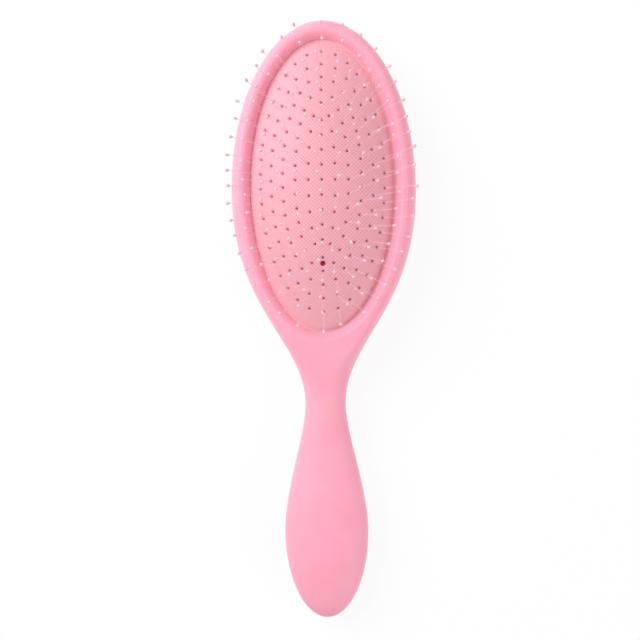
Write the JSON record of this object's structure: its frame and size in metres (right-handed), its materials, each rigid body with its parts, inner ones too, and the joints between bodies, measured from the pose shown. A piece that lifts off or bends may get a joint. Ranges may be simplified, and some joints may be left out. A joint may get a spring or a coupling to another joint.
{
  "type": "detangling brush",
  "caption": "Oval cushion hairbrush with a waisted handle, a domed rubber pad with an air vent, and thin ball-tipped pins in oval rings.",
  "frame": {"origin": "centre of the flat land on the back of the head", "axes": "+X across the head, +Y along the brush from the handle to the head's tip, +Z out of the front, along the pins"},
  "size_m": [0.0686, 0.2219, 0.0427],
  "materials": {
    "shell": "soft-touch matte pink",
    "pad": "matte pink rubber with a fine woven grain",
    "pins": "clear pale pink nylon"
  },
  "bodies": {
    "handle": {"front_shell": "shell", "back_shell": "shell", "cushion_pad": "pad"},
    "centre_pins": {"pins_centre": "pins"},
    "ring_1_pins": {"pins_ring_1_heel_right": "pins", "pins_ring_1_tip_right": "pins", "pins_ring_1_tip_left": "pins", "pins_ring_1_heel_left": "pins"},
    "ring_2_pins": {"pins_ring_2_heel_right": "pins", "pins_ring_2_tip_right": "pins", "pins_ring_2_tip_left": "pins", "pins_ring_2_heel_left": "pins"},
    "ring_3_pins": {"pins_ring_3_heel_right": "pins", "pins_ring_3_tip_right": "pins", "pins_ring_3_tip_left": "pins", "pins_ring_3_heel_left": "pins"},
    "ring_4_pins": {"pins_ring_4_heel_right": "pins", "pins_ring_4_tip_right": "pins", "pins_ring_4_tip_left": "pins", "pins_ring_4_heel_left": "pins"},
    "ring_5_pins": {"pins_ring_5_heel_right": "pins", "pins_ring_5_tip_right": "pins", "pins_ring_5_tip_left": "pins", "pins_ring_5_heel_left": "pins"}
  },
  "joints": [
    {"name": "cushion_press", "type": "slide", "parent": "handle", "child": "centre_pins", "axis": [0, 0, 1], "range_m": [-0.005, 0], "stiffness_N_per_m": 800, "deforming": ["cushion_pad"]},
    {"name": "ring_1_press", "type": "slide", "parent": "handle", "child": "ring_1_pins", "axis": [0, 0, 1], "range_m": [-0.00441, 0], "stiffness_N_per_m": 800},
    {"name": "ring_2_press", "type": "slide", "parent": "handle", "child": "ring_2_pins", "axis": [0, 0, 1], "range_m": [-0.00394, 0], "stiffness_N_per_m": 800},
    {"name": "ring_3_press", "type": "slide", "parent": "handle", "child": "ring_3_pins", "axis": [0, 0, 1], "range_m": [-0.00329, 0], "stiffness_N_per_m": 800},
    {"name": "ring_4_press", "type": "slide", "parent": "handle", "child": "ring_4_pins", "axis": [0, 0, 1], "range_m": [-0.00244, 0], "stiffness_N_per_m": 800},
    {"name": "ring_5_press", "type": "slide", "parent": "handle", "child": "ring_5_pins", "axis": [0, 0, 1], "range_m": [-0.00143, 0], "stiffness_N_per_m": 800}
  ],
  "couplings": [
    {"joint": "ring_1_press", "follows": "cushion_press", "ratio": 0.862},
    {"joint": "ring_2_press", "follows": "cushion_press", "ratio": 0.768},
    {"joint": "ring_3_press", "follows": "cushion_press", "ratio": 0.637},
    {"joint": "ring_4_press", "follows": "cushion_press", "ratio": 0.468},
    {"joint": "ring_5_press", "follows": "cushion_press", "ratio": 0.266}
  ]
}
